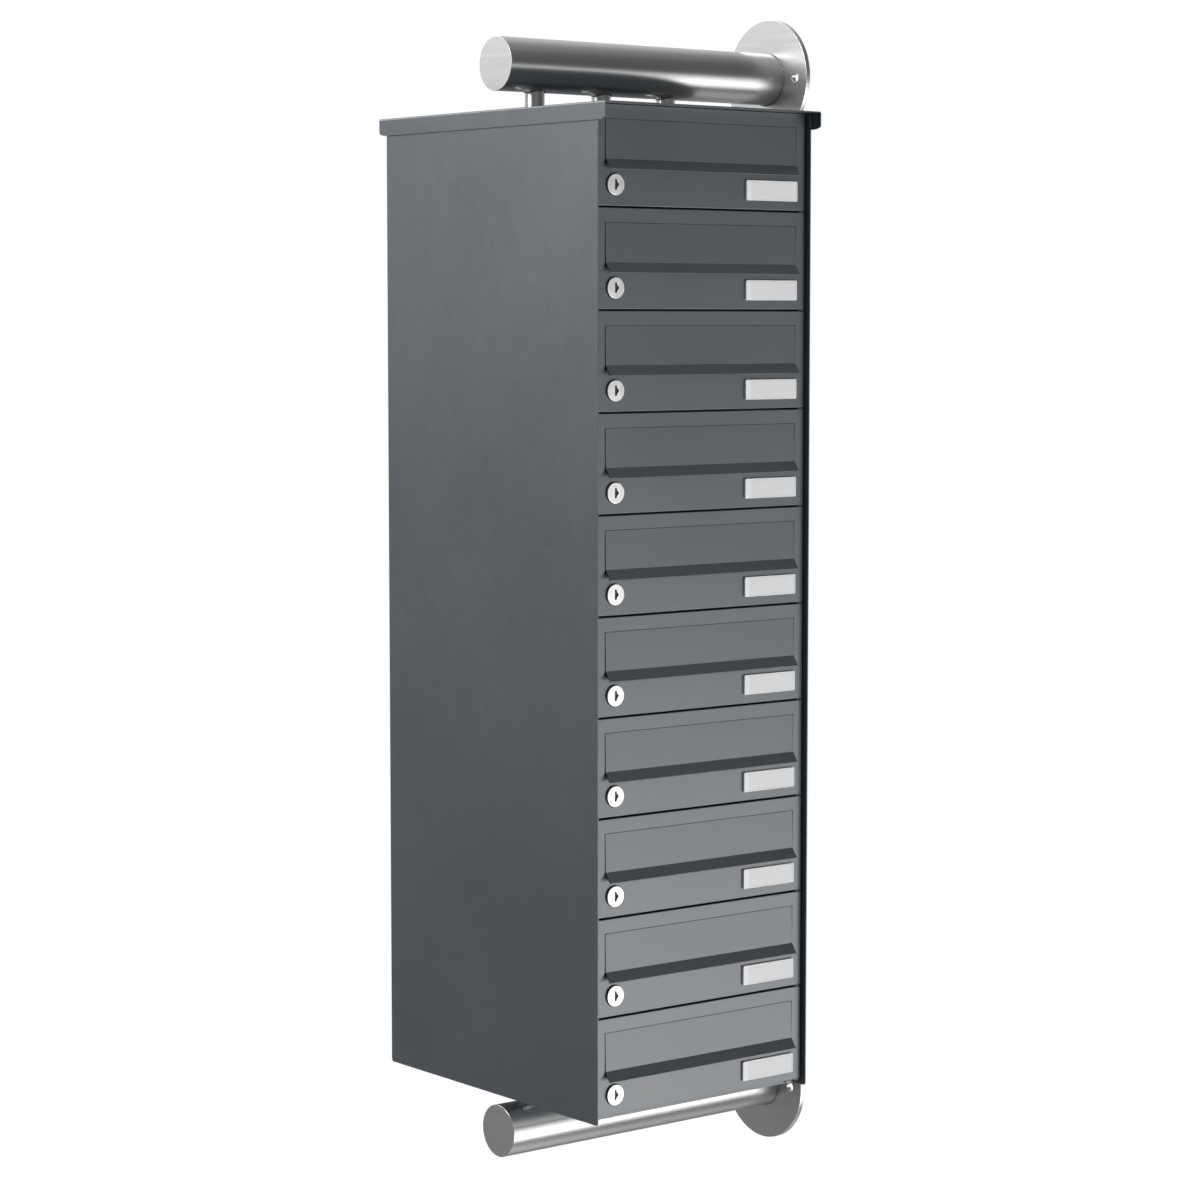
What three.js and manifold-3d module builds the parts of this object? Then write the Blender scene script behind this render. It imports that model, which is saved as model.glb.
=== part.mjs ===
// Cluster mailbox unit: ten letter boxes stacked in one column, held away from a side wall
// by two round tubes, one above the roof and one below the base.
//
// Millimetres. +Z is up, the doors face -Y, and the wall is on the +X side.
// The shapes are drawn in the stack's own frame: x = 0 at the middle of the column,
// y = 0 at the front faces of the doors, z = 0 at the bottom of the lowest box pitch.
// The whole unit is then shifted, so that the origin is the centre of the top wall
// plate's back face, which is what touches the wall.

import * as THREE from 'three';
import { mergeVertices } from 'three/addons/utils/BufferGeometryUtils.js';
import Module from 'manifold-3d';

const wasm = await Module();
wasm.setup();

// ---------- driving dimensions ----------

const BOX_COUNT = 10;
const PITCH = 110; // height of one letter box, as in the 300 x 110 x 385 format
const FIT = 0.3; // gap kept between neighbouring sheets

// cladding
const SIDE_OUTER_X = 152.4;
const SIDE_SHEET = 1.5;
const SIDE_FRONT_Y = -7.4;
const SIDE_BACK_Y = 386.2;
const SIDE_BOTTOM_Z = -6.2;
const SIDE_CORNER_R = 4;
const ROOF_TOP_Z = 1100.5;
const ROOF_SHEET = 1.2;
const ROOF_FRONT_Y = -22;
const ROOF_BACK_Y = 398.5;
const ROOF_FLANGE_BOTTOM_Z = 1080.9;
const ROOF_CORNER_LENGTH = 14; // the flange's lower corners are cut back by a flat quarter ellipse
const ROOF_CORNER_HEIGHT = 4;
const BACK_SHEET = 1.2;

// shelves and rails inside
const SHELF_SHEET = 1;
const SHELF_TOP_OFFSET = 0.3; // top of each shelf above its pitch line
const SHELF_FLANGE = 7; // down-turned edge, sheet included
const SHELF_FRONT_Y = 15.5;
const RAIL_FRONT_Y = 13;
const RAIL_SHEET = 1.5;
const RAIL_WIDTH = 10.6;
const TONGUE_LEFT_X = 142;
const TONGUE_FRONT_Y = 0.8;
const HINGE_PIN_R = 1.3;

// doors
const DOOR_SHEET = 1.2;
const DOOR_LEFT_X = -149.6;
const DOOR_BOTTOM_DZ = 0.9; // above the pitch line
const DOOR_HEIGHT = 107.8;
const DOOR_RETURN = 10; // depth of the turned-in edges
const DOOR_EDGE_R = 1;
const HINGE_X = 146.9;
const HINGE_Y = 3; // also the outer radius of the hinge-side edge
const HINGE_HOLE_R = 1.6;
const SLOT_HALF_X = 136.6; // the cut-out that the flap hangs in
const SLOT_BOTTOM_DZ = 46;
const SLOT_TOP_DZ = 94.1;
const EAR_SHEET = 1.2;
const EAR_GAP = 0.4;

// flaps
const FLAP_HALF_X = 135.8;
const FLAP_SHEET = 1.2;
const FLAP_FRONT_Y = -1;
const FLAP_HINGE_Y = 2.6;
const FLAP_HINGE_DZ = 89.7;
const FLAP_FOLD_DZ = 50.5;
const FLAP_TOP_DZ = 93.2;
const FLAP_TOP_BACK_Y = 2.8; // the top edge is bent back over the hinge pins
const FLAP_TOP_R = 1.4;
const LIP_OUT = 7.7;
const LIP_DOWN = 10.7;
const FLAP_PIN_R = 1;
const FLAP_PIN_HOLE_R = 1.35;

// locks
const LOCK_X = -123.3;
const LOCK_DZ = 23.4;
const ROSETTE_R = 11.75;
const ROSETTE_OUT = 2.8;
const BARREL_R = 9.5;
const BARREL_BACK_Y = 13.6;
const PLUG_R = 7.4;
const PLUG_BORE_R = 7.75;
const PLUG_OUT = 3;
const CAM_FRONT_Y = 15;
const CAM_SHEET = 2;
const CAM_LENGTH = 21.5;
const CAM_HALF_WIDTH = 5;
const KEYWAY_DEPTH = 4;
const KEYWAY_HALF_WIDTH = 0.9;
const KEYWAY_HALF_HEIGHT = 5;
const KEYWAY_NOTCH = 2;

// name plates
const PLATE_LEFT_X = 61.2;
const PLATE_WIDTH = 75;
const PLATE_BOTTOM_DZ = 11;
const PLATE_HEIGHT = 22;
const PLATE_THICKNESS = 2.4;
const PLATE_CORNER_R = 1.2;

// wall mounting
const TUBE_R = 30;
const TUBE_WALL = 2;
const TUBE_Y = 189.4; // the middle of the cladding's depth
const TUBE_CLEARANCE = 52.5; // tube axis beyond the stack's top and bottom
const TUBE_LEFT_X = -141.2;
const WALL_PLATE_FRONT_X = 258.8;
const WALL_PLATE_R = 70;
const WALL_PLATE_THICKNESS = 6;
const BOLT_CIRCLE_R = 50;
const BOLT_HOLE_R = 5.5;
const END_DISC_SHEET = 3;
const POST_R = 11;
const POST_MIDDLE_X = 8.4;
const POST_PITCH = 95;

// flat sides that a full circle is drawn with, and steps in a small corner's arc
const TUBE_SIDES = 32;
const PLATE_SIDES = 40;
const ROD_SIDES = 16; // locks, posts and bolt holes
const PIN_SIDES = 6;
const CORNER_STEPS = 2;

// values that follow
const SIDE_INNER_X = SIDE_OUTER_X - SIDE_SHEET;
const STACK_TOP_Z = BOX_COUNT * PITCH;
const ROOF_UNDER_Z = ROOF_TOP_Z - ROOF_SHEET;
const DOOR_RIGHT_X = HINGE_X + HINGE_Y;
const TOP_TUBE_Z = STACK_TOP_Z + TUBE_CLEARANCE;
const BOTTOM_TUBE_Z = -TUBE_CLEARANCE;
const WALL_X = WALL_PLATE_FRONT_X + WALL_PLATE_THICKNESS;
const SHELF_HALF_X = SIDE_INNER_X - FIT;
const BACK_PANEL_BACK_Y = SIDE_BACK_Y - 1.2;
const SHELF_BACK_Y = BACK_PANEL_BACK_Y - BACK_SHEET - FIT;

// ---------- materials ----------

const coat = new THREE.MeshStandardMaterial({ color: 0x3c4247, roughness: 0.55, metalness: 0.1 });
const zinc = new THREE.MeshStandardMaterial({ color: 0x9a9c9e, roughness: 0.45, metalness: 0.9 });
const stainless = new THREE.MeshStandardMaterial({ color: 0xb4b5b6, roughness: 0.3, metalness: 1 });
const nickel = new THREE.MeshStandardMaterial({ color: 0xc9cacb, roughness: 0.25, metalness: 1 });
const plateGrey = new THREE.MeshStandardMaterial({ color: 0xd8d8da, roughness: 0.35, metalness: 0 });

// ---------- shape helpers ----------

function toSolid(geometry) {
  const bare = geometry.clone();
  bare.deleteAttribute('normal');
  bare.deleteAttribute('uv');
  const merged = mergeVertices(bare, 1e-4);
  const vertProperties = new Float32Array(merged.attributes.position.array);
  const triVerts = new Uint32Array(merged.index.array);
  return new wasm.Manifold(new wasm.Mesh({ numProp: 3, vertProperties, triVerts }));
}

function toGeometry(solid) {
  const mesh = solid.getMesh();
  const geometry = new THREE.BufferGeometry();
  geometry.setAttribute('position', new THREE.BufferAttribute(new Float32Array(mesh.vertProperties), 3));
  geometry.setIndex(new THREE.BufferAttribute(new Uint32Array(mesh.triVerts), 1));
  return geometry;
}

function joined(...geometries) {
  return toGeometry(geometries.map(toSolid).reduce((sum, solid) => sum.add(solid)));
}

function cut(geometry, ...tools) {
  return toGeometry(tools.map(toSolid).reduce((rest, tool) => rest.subtract(tool), toSolid(geometry)));
}

function box(x0, x1, y0, y1, z0, z1) {
  const geometry = new THREE.BoxGeometry(x1 - x0, y1 - y0, z1 - z0);
  return geometry.translate((x0 + x1) / 2, (y0 + y1) / 2, (z0 + z1) / 2);
}

function polygon(points) {
  return new THREE.Shape(points.map(([u, v]) => new THREE.Vector2(u, v)));
}

// A shape drawn in (x, y), swept upwards.
function sweptZ(shape, z0, z1, curveSegments = CORNER_STEPS) {
  const geometry = new THREE.ExtrudeGeometry(shape, { depth: z1 - z0, bevelEnabled: false, curveSegments });
  return geometry.translate(0, 0, z0);
}

// A shape drawn in (y, z), swept along +X.
function sweptX(shape, x0, x1, curveSegments = CORNER_STEPS) {
  const geometry = new THREE.ExtrudeGeometry(shape, { depth: x1 - x0, bevelEnabled: false, curveSegments });
  return geometry.rotateY(Math.PI / 2).rotateX(Math.PI / 2).translate(x0, 0, 0);
}

// A shape drawn in (x, z), swept towards the back.
function sweptY(shape, y0, y1, curveSegments = CORNER_STEPS) {
  const geometry = new THREE.ExtrudeGeometry(shape, { depth: y1 - y0, bevelEnabled: false, curveSegments });
  return geometry.rotateX(Math.PI / 2).translate(0, y1, 0);
}

function rodX(radius, x0, x1, y, z, segments) {
  const geometry = new THREE.CylinderGeometry(radius, radius, x1 - x0, segments);
  return geometry.rotateZ(-Math.PI / 2).translate((x0 + x1) / 2, y, z);
}

function rodY(radius, y0, y1, x, z, segments) {
  const geometry = new THREE.CylinderGeometry(radius, radius, y1 - y0, segments);
  return geometry.translate(x, (y0 + y1) / 2, z);
}

function rodZ(radius, z0, z1, x, y, segments) {
  const geometry = new THREE.CylinderGeometry(radius, radius, z1 - z0, segments);
  return geometry.rotateX(Math.PI / 2).translate(x, y, (z0 + z1) / 2);
}

// ---------- cladding ----------

function sidePanelGeometry(side) {
  const top = ROOF_UNDER_Z - FIT;
  const r = SIDE_CORNER_R;
  const outline = new THREE.Shape();
  outline.moveTo(SIDE_FRONT_Y, top);
  outline.lineTo(SIDE_FRONT_Y, SIDE_BOTTOM_Z + r);
  outline.absarc(SIDE_FRONT_Y + r, SIDE_BOTTOM_Z + r, r, Math.PI, 1.5 * Math.PI);
  outline.lineTo(SIDE_BACK_Y - r, SIDE_BOTTOM_Z);
  outline.absarc(SIDE_BACK_Y - r, SIDE_BOTTOM_Z + r, r, 1.5 * Math.PI, 2 * Math.PI);
  outline.lineTo(SIDE_BACK_Y, top);
  const x0 = side < 0 ? -SIDE_OUTER_X : SIDE_INNER_X;
  return sweptX(outline, x0, x0 + SIDE_SHEET);
}

function roofFlangeOutline() {
  const outline = new THREE.Shape();
  const low = ROOF_FLANGE_BOTTOM_Z;
  outline.moveTo(ROOF_FRONT_Y, ROOF_TOP_Z);
  outline.lineTo(ROOF_FRONT_Y, low + ROOF_CORNER_HEIGHT);
  outline.absellipse(ROOF_FRONT_Y + ROOF_CORNER_LENGTH, low + ROOF_CORNER_HEIGHT,
    ROOF_CORNER_LENGTH, ROOF_CORNER_HEIGHT, Math.PI, 1.5 * Math.PI, false);
  outline.lineTo(ROOF_BACK_Y - ROOF_CORNER_LENGTH, low);
  outline.absellipse(ROOF_BACK_Y - ROOF_CORNER_LENGTH, low + ROOF_CORNER_HEIGHT,
    ROOF_CORNER_LENGTH, ROOF_CORNER_HEIGHT, 1.5 * Math.PI, 2 * Math.PI, false);
  outline.lineTo(ROOF_BACK_Y, ROOF_TOP_Z);
  return outline;
}

// A sheet folded down on both sides, with the pin for the top door's upper hinge.
function roofGeometry() {
  const inner = SIDE_OUTER_X + FIT;
  const outer = inner + ROOF_SHEET;
  const plate = box(-outer, outer, ROOF_FRONT_Y, ROOF_BACK_Y, ROOF_UNDER_Z, ROOF_TOP_Z);
  const outline = roofFlangeOutline();
  const flanges = [-outer, inner].map((x) => sweptX(outline, x, x + ROOF_SHEET, 3 * CORNER_STEPS));
  const pinFoot = STACK_TOP_Z - PITCH + DOOR_BOTTOM_DZ + DOOR_HEIGHT - DOOR_SHEET - FIT;
  const pin = rodZ(HINGE_PIN_R, pinFoot, ROOF_UNDER_Z + ROOF_SHEET / 2, HINGE_X, HINGE_Y, PIN_SIDES);
  return joined(plate, ...flanges, pin);
}

function backPanelGeometry() {
  const halfX = SIDE_INNER_X - FIT;
  const top = ROOF_UNDER_Z - FIT;
  return box(-halfX, halfX, BACK_PANEL_BACK_Y - BACK_SHEET, BACK_PANEL_BACK_Y, SIDE_BOTTOM_Z, top);
}

// A floor sheet with all four edges turned down.
function shelfGeometry() {
  const top = SHELF_TOP_OFFSET;
  const low = top - SHELF_FLANGE;
  const t = SHELF_SHEET;
  const pan = box(-SHELF_HALF_X, SHELF_HALF_X, SHELF_FRONT_Y, SHELF_BACK_Y, low, top);
  const halfX = SHELF_HALF_X - t;
  const hollow = box(-halfX, halfX, SHELF_FRONT_Y + t, SHELF_BACK_Y - t, low - t, top - t);
  return cut(pan, hollow);
}

function basePanelGeometry() {
  return shelfGeometry();
}

// ---------- rails ----------

const RAIL_LOW_Z = SIDE_BOTTOM_Z + 0.5;
const RAIL_TOP_Z = ROOF_UNDER_Z - FIT;

// The strip that the lock cams turn behind.
function catchRailGeometry() {
  const x0 = FIT - SIDE_INNER_X;
  return box(x0, x0 + RAIL_WIDTH, RAIL_FRONT_Y, RAIL_FRONT_Y + RAIL_SHEET, RAIL_LOW_Z, RAIL_TOP_Z);
}

// The strip on the hinge side, with a tongue and a pin in the gap below each door.
function hingeRailGeometry() {
  const x1 = SIDE_INNER_X - FIT;
  const strip = box(x1 - RAIL_WIDTH, x1, RAIL_FRONT_Y, RAIL_FRONT_Y + RAIL_SHEET, RAIL_LOW_Z, RAIL_TOP_Z);
  const pieces = [strip];
  for (let row = 0; row < BOX_COUNT; row += 1) {
    const top = row * PITCH + SHELF_TOP_OFFSET;
    const low = top - SHELF_SHEET;
    const reach = DOOR_BOTTOM_DZ - SHELF_TOP_OFFSET + DOOR_SHEET + FIT;
    const pinLow = row === 0 ? low : low - reach;
    pieces.push(box(TONGUE_LEFT_X, x1, TONGUE_FRONT_Y, RAIL_FRONT_Y + RAIL_SHEET / 2, low, top));
    pieces.push(rodZ(HINGE_PIN_R, pinLow, top + reach, HINGE_X, HINGE_Y, PIN_SIDES));
  }
  return joined(...pieces);
}

// ---------- doors ----------

function doorOutline(inset) {
  const left = DOOR_LEFT_X + inset;
  const right = DOOR_RIGHT_X - inset;
  const edge = Math.max(DOOR_EDGE_R - inset, 0.2);
  const roll = HINGE_Y - inset;
  const back = inset > 0 ? DOOR_RETURN + 1 : DOOR_RETURN;
  const outline = new THREE.Shape();
  outline.moveTo(left, back);
  outline.lineTo(left, inset + edge);
  outline.absarc(left + edge, inset + edge, edge, Math.PI, 1.5 * Math.PI);
  outline.lineTo(right - roll, inset);
  outline.absarc(right - roll, inset + roll, roll, 1.5 * Math.PI, 2 * Math.PI);
  outline.lineTo(right, back);
  return outline;
}

// One ear beside the cut-out, with the stub pin that the flap swings on.
function flapEar(side) {
  const inner = side * (SLOT_HALF_X + EAR_GAP);
  const outer = inner + side * EAR_SHEET;
  const x0 = Math.min(inner, outer);
  const y1 = FLAP_HINGE_Y + 2.6;
  const plate = box(x0, x0 + EAR_SHEET, DOOR_SHEET / 2, y1, FLAP_HINGE_DZ - 2.6, FLAP_HINGE_DZ + 2.6);
  const pinEnd = side * (FLAP_HALF_X - FLAP_SHEET - 0.6);
  const pinRoot = inner + (side * EAR_SHEET) / 2;
  const [pinX0, pinX1] = side < 0 ? [pinRoot, pinEnd] : [pinEnd, pinRoot];
  const pin = rodX(FLAP_PIN_R, pinX0, pinX1, FLAP_HINGE_Y, FLAP_HINGE_DZ, PIN_SIDES);
  return [plate, pin];
}

// A folded door with its letter cut-out, hinge holes, flap ears and lock housing.
function doorGeometry() {
  const low = DOOR_BOTTOM_DZ;
  const top = low + DOOR_HEIGHT;
  const t = DOOR_SHEET;
  const skin = sweptZ(doorOutline(0), low, top);
  const hollow = sweptZ(doorOutline(t), low + t, top - t);
  const slot = box(-SLOT_HALF_X, SLOT_HALF_X, -1, t + 1, SLOT_BOTTOM_DZ, SLOT_TOP_DZ);
  const hingeHole = rodZ(HINGE_HOLE_R, low - 1, top + 1, HINGE_X, HINGE_Y, PIN_SIDES);
  const leaf = cut(skin, hollow, slot, hingeHole);
  const rosette = rodY(ROSETTE_R, -ROSETTE_OUT, t / 2, LOCK_X, LOCK_DZ, ROD_SIDES);
  const barrel = rodY(BARREL_R, 0, BARREL_BACK_Y, LOCK_X, LOCK_DZ, ROD_SIDES);
  const bore = rodY(PLUG_BORE_R, -ROSETTE_OUT - 1, BARREL_BACK_Y + 1, LOCK_X, LOCK_DZ, ROD_SIDES);
  return cut(joined(leaf, rosette, barrel, ...flapEar(-1), ...flapEar(1)), bore);
}

// ---------- flaps ----------

// Section of the flap in (y, z): a top edge bent back, a plate, and a lip folded outwards
// as a finger grip. The rounded top corner stays within 4.5 mm of the hinge axis.
function flapSection() {
  const t = FLAP_SHEET;
  const lip = Math.hypot(LIP_OUT, LIP_DOWN);
  const backY = (t * LIP_DOWN) / lip;
  const backZ = (-t * LIP_OUT) / lip;
  const tipY = FLAP_FRONT_Y - LIP_OUT;
  const tipZ = FLAP_FOLD_DZ - LIP_DOWN;
  const innerFoldZ = FLAP_FOLD_DZ + backZ + ((t - backY) * LIP_DOWN) / LIP_OUT;
  const cornerY = FLAP_FRONT_Y + FLAP_TOP_R;
  const section = new THREE.Shape();
  section.moveTo(FLAP_FRONT_Y, FLAP_FOLD_DZ);
  section.lineTo(tipY, tipZ);
  section.lineTo(tipY + backY, tipZ + backZ);
  section.lineTo(FLAP_FRONT_Y + t, innerFoldZ);
  section.lineTo(FLAP_FRONT_Y + t, FLAP_TOP_DZ - t);
  section.lineTo(FLAP_TOP_BACK_Y, FLAP_TOP_DZ - t);
  section.lineTo(FLAP_TOP_BACK_Y, FLAP_TOP_DZ);
  section.absarc(cornerY, FLAP_TOP_DZ - FLAP_TOP_R, FLAP_TOP_R, Math.PI / 2, Math.PI, false);
  return section;
}

function flapGeometry() {
  const t = FLAP_SHEET;
  const plate = sweptX(flapSection(), -FLAP_HALF_X, FLAP_HALF_X);
  const back = FLAP_HINGE_Y + 2.4;
  const low = FLAP_HINGE_DZ - 6;
  const ear = polygon([
    [FLAP_FRONT_Y + t / 2, low],
    [back, low + 3],
    [back, FLAP_HINGE_DZ + 1],
    [FLAP_HINGE_Y + 1, FLAP_HINGE_DZ + 2.9],
    [FLAP_FRONT_Y + t / 2, FLAP_HINGE_DZ],
  ]);
  const ears = [-FLAP_HALF_X, FLAP_HALF_X - t].map((x) => sweptX(ear, x, x + t));
  const holes = [-1, 1].map((side) => {
    const x = side * (FLAP_HALF_X - t / 2);
    return rodX(FLAP_PIN_HOLE_R, x - t, x + t, FLAP_HINGE_Y, FLAP_HINGE_DZ, PIN_SIDES);
  });
  return cut(joined(plate, ...ears), ...holes);
}

// ---------- locks ----------

function camOutline() {
  const w = CAM_HALF_WIDTH;
  const tip = LOCK_DZ + CAM_LENGTH - w;
  const outline = new THREE.Shape();
  outline.moveTo(LOCK_X + w, LOCK_DZ);
  outline.lineTo(LOCK_X + w, tip);
  outline.absarc(LOCK_X, tip, w, 0, Math.PI);
  outline.lineTo(LOCK_X - w, LOCK_DZ);
  return outline;
}

function keywayOutline() {
  const w = KEYWAY_HALF_WIDTH;
  const h = KEYWAY_HALF_HEIGHT;
  return polygon([
    [LOCK_X - w, LOCK_DZ - h],
    [LOCK_X + w, LOCK_DZ - h],
    [LOCK_X + w, LOCK_DZ - h / 2],
    [LOCK_X + w + KEYWAY_NOTCH, LOCK_DZ],
    [LOCK_X + w, LOCK_DZ + h / 2],
    [LOCK_X + w, LOCK_DZ + h],
    [LOCK_X - w, LOCK_DZ + h],
  ]);
}

// The turning plug with its keyway, and the cam on its tail. The cam points up while the
// door is free, and a quarter turn swings it behind the catch rail.
function lockGeometry() {
  const camBack = CAM_FRONT_Y + CAM_SHEET;
  const plug = rodY(PLUG_R, -PLUG_OUT, camBack, LOCK_X, LOCK_DZ, ROD_SIDES);
  const cam = sweptY(camOutline(), CAM_FRONT_Y, camBack, 3 * CORNER_STEPS);
  const keyway = sweptY(keywayOutline(), -PLUG_OUT - 1, KEYWAY_DEPTH - PLUG_OUT);
  return cut(joined(plug, cam), keyway);
}

// ---------- name plates ----------

function roundedRectangle(x0, x1, z0, z1, r) {
  const outline = new THREE.Shape();
  outline.absarc(x1 - r, z0 + r, r, 1.5 * Math.PI, 2 * Math.PI);
  outline.absarc(x1 - r, z1 - r, r, 0, Math.PI / 2);
  outline.absarc(x0 + r, z1 - r, r, Math.PI / 2, Math.PI);
  outline.absarc(x0 + r, z0 + r, r, Math.PI, 1.5 * Math.PI);
  return outline;
}

function namePlateGeometry() {
  const x1 = PLATE_LEFT_X + PLATE_WIDTH;
  const z1 = PLATE_BOTTOM_DZ + PLATE_HEIGHT;
  const outline = roundedRectangle(PLATE_LEFT_X, x1, PLATE_BOTTOM_DZ, z1, PLATE_CORNER_R);
  return sweptY(outline, -FIT - PLATE_THICKNESS, -FIT);
}

// ---------- wall mounting ----------

// A hollow tube closed by a welded disc at its free end, with three posts that reach to
// the roof or the base.
function tubeGeometry(tubeZ, postEndZ) {
  const x1 = WALL_PLATE_FRONT_X - FIT;
  const boreStart = TUBE_LEFT_X + END_DISC_SHEET;
  const outer = rodX(TUBE_R, TUBE_LEFT_X, x1, TUBE_Y, tubeZ, TUBE_SIDES);
  const bore = rodX(TUBE_R - TUBE_WALL, boreStart, x1 + 1, TUBE_Y, tubeZ, TUBE_SIDES);
  const posts = [-1, 0, 1].map((step) => {
    const x = POST_MIDDLE_X + step * POST_PITCH;
    return rodZ(POST_R, Math.min(tubeZ, postEndZ), Math.max(tubeZ, postEndZ), x, TUBE_Y, ROD_SIDES);
  });
  return cut(joined(outer, ...posts), bore);
}

function wallPlateGeometry(tubeZ) {
  const plate = rodX(WALL_PLATE_R, WALL_PLATE_FRONT_X, WALL_X, TUBE_Y, tubeZ, PLATE_SIDES);
  const holes = [-1, 1].map((side) =>
    rodX(BOLT_HOLE_R, WALL_PLATE_FRONT_X - 1, WALL_X + 1, TUBE_Y + side * BOLT_CIRCLE_R, tubeZ, ROD_SIDES));
  return cut(plate, ...holes);
}

// ---------- assembly ----------

const unit = new THREE.Group();
unit.position.set(-WALL_X, -TUBE_Y, -TOP_TUBE_Z);

function addPart(parent, name, geometry, material) {
  const mesh = new THREE.Mesh(geometry, material);
  mesh.name = name;
  parent.add(mesh);
  return mesh;
}

function twoDigits(number) {
  return String(number).padStart(2, '0');
}

function addHousing() {
  addPart(unit, 'left_side_panel', sidePanelGeometry(-1), coat);
  addPart(unit, 'right_side_panel', sidePanelGeometry(1), coat);
  addPart(unit, 'roof_cap', roofGeometry(), coat);
  addPart(unit, 'back_panel', backPanelGeometry(), coat);
  addPart(unit, 'base_panel', basePanelGeometry(), coat);
  addPart(unit, 'catch_rail', catchRailGeometry(), zinc);
  addPart(unit, 'hinge_rail', hingeRailGeometry(), coat);
  const shelf = shelfGeometry();
  for (let number = 1; number < BOX_COUNT; number += 1) {
    const mesh = addPart(unit, `shelf_${twoDigits(number)}`, shelf, coat);
    mesh.position.z = STACK_TOP_Z - number * PITCH;
  }
}

// Boxes are numbered from the top down.
function addBoxFronts() {
  const door = doorGeometry();
  const flap = flapGeometry();
  const lock = lockGeometry();
  const plate = namePlateGeometry();
  for (let number = 1; number <= BOX_COUNT; number += 1) {
    const front = new THREE.Group();
    front.position.z = STACK_TOP_Z - number * PITCH;
    unit.add(front);
    addPart(front, `door_${twoDigits(number)}`, door, coat);
    addPart(front, `flap_${twoDigits(number)}`, flap, coat);
    addPart(front, `lock_${twoDigits(number)}`, lock, nickel);
    addPart(front, `name_plate_${twoDigits(number)}`, plate, plateGrey);
  }
}

function addWallMounting() {
  const topPostEnd = ROOF_TOP_Z + FIT;
  const bottomPostEnd = SHELF_TOP_OFFSET - SHELF_SHEET - FIT;
  addPart(unit, 'top_tube', tubeGeometry(TOP_TUBE_Z, topPostEnd), stainless);
  addPart(unit, 'bottom_tube', tubeGeometry(BOTTOM_TUBE_Z, bottomPostEnd), stainless);
  addPart(unit, 'top_wall_plate', wallPlateGeometry(TOP_TUBE_Z), stainless);
  addPart(unit, 'bottom_wall_plate', wallPlateGeometry(BOTTOM_TUBE_Z), stainless);
}

addHousing();
addBoxFronts();
addWallMounting();

export default unit;
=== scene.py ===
import math

import bmesh
import bpy
from mathutils import Matrix, Vector


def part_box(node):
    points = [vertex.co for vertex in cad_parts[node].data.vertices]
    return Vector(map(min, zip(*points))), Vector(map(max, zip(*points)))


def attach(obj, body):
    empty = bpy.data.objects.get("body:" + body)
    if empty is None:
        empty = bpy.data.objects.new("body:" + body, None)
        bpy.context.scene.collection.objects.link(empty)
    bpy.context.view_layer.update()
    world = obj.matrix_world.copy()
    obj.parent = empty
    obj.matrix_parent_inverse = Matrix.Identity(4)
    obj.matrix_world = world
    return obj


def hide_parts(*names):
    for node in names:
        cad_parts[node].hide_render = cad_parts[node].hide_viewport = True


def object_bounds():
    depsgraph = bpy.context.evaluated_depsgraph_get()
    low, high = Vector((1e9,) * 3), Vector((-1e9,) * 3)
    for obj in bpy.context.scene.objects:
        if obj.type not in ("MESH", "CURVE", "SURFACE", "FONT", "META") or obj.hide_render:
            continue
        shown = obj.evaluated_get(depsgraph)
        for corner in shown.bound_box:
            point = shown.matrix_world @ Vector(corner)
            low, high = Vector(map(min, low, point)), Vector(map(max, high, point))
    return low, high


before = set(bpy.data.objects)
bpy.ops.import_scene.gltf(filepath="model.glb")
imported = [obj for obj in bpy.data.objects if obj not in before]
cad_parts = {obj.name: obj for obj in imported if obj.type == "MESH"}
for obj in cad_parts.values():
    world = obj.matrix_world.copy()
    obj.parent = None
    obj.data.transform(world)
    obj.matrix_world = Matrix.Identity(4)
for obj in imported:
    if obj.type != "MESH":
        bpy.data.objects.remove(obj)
CAD_BOX = [list(corner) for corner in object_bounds()]

# ---------- the stack's own frame ----------
# Shapes are drawn in millimetres: x = 0 at the middle of the column, y = 0 at the front
# faces of the doors, z = 0 at the bottom of the lowest box. ORIGIN is that point in metres.

MM = 0.001
BOXES = 10
PITCH = 110.0
SIDE_FRONT_Y = -7.4
SIDE_BACK_Y = 386.2
SIDE_BOTTOM_Z = -6.2
SIDE_SHEET = 1.5
SHEET = 1.2
HINGE = (146.9, 3.0)
POST_X = (-86.6, 8.4, 103.4)

panel_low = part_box("left_side_panel")[0]
panel_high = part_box("right_side_panel")[1]
ORIGIN = Vector((
    (panel_low.x + panel_high.x) / 2,
    panel_low.y - SIDE_FRONT_Y * MM,
    panel_low.z - SIDE_BOTTOM_Z * MM,
))
SIDE_OUTER_X = (panel_high.x - panel_low.x) / 2 / MM
SIDE_TOP_Z = (panel_high.z - ORIGIN.z) / MM
TO_ROW = Matrix.Translation(ORIGIN) @ Matrix.Scale(MM, 4)


def two(number):
    return f"{number:02d}"


def floor_of(number):
    """Height of a box's pitch line; boxes are numbered from the top down."""
    return (BOXES - number) * PITCH


def row_x(x):
    """A frame x in metres as millimetres in the stack's frame; row_y and row_z do the same."""
    return (x - ORIGIN.x) / MM


def row_y(y):
    return (y - ORIGIN.y) / MM


def row_z(z):
    return (z - ORIGIN.z) / MM


def quarter(steps):
    """Angles from 0 to a right angle, both included."""
    return [math.pi / 2 * i / steps for i in range(steps + 1)]


# ---------- camera ----------

CAMERA_PLACE = (-2.5362, -2.8803, -0.2825)
CAMERA_YAW, CAMERA_PITCH = 38.34, -5.02
CAMERA_LENS = 95.91


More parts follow.
